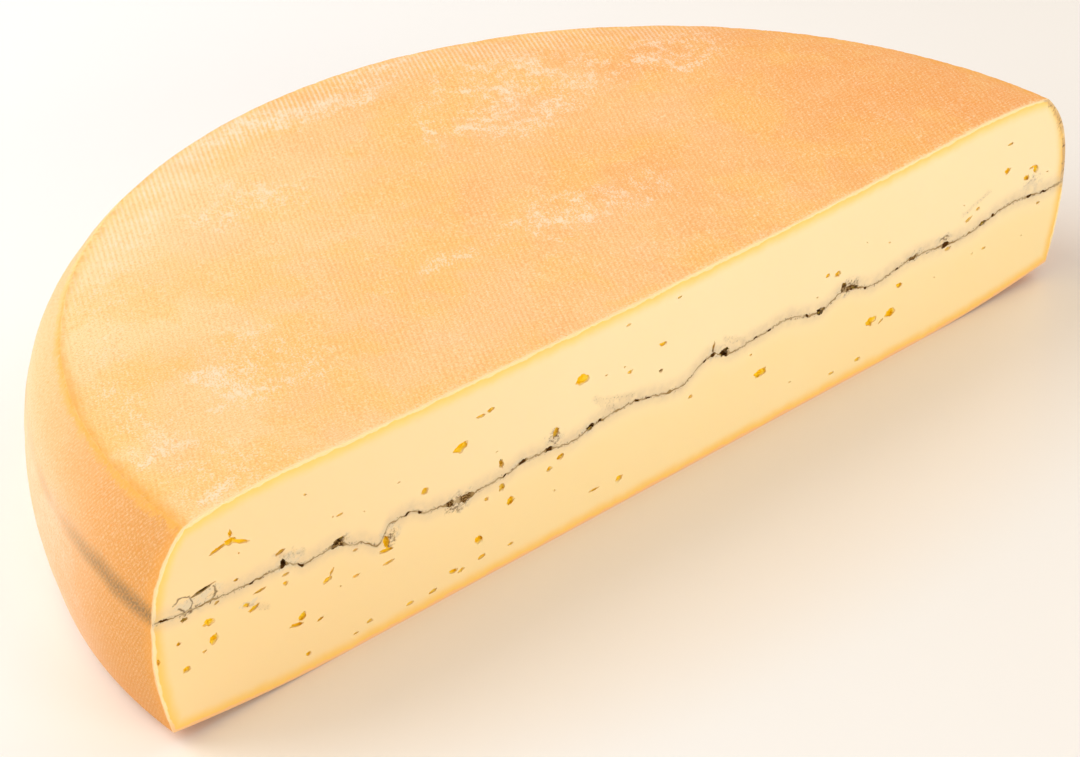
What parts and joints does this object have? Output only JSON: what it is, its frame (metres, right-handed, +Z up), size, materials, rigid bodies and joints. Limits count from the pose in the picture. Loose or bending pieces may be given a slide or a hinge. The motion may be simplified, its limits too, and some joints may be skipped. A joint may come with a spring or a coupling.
{
  "type": "half wheel of ash-line cheese",
  "caption": "Half of a low round cheese with a cloth-marked rind, cut flat through its axis so that the pale paste shows a thin wavy line of ash and small eyes.",
  "frame": {"origin": "middle of the footprint, on the surface that the cheese rests on", "axes": "+X along the cut face, +Y from the cut face into the cheese, +Z up"},
  "size_m": [0.3512, 0.1674, 0.0652],
  "materials": {
    "paste": "semi-soft pale yellow paste, satin, under an orange rind with a cloth imprint and a whitish bloom",
    "ash": "dull dark grey ash, damp and slightly blue"
  },
  "bodies": {
    "root": {"lower_paste": "paste", "ash_layer": "ash", "upper_paste": "paste"}
  },
  "joints": []
}
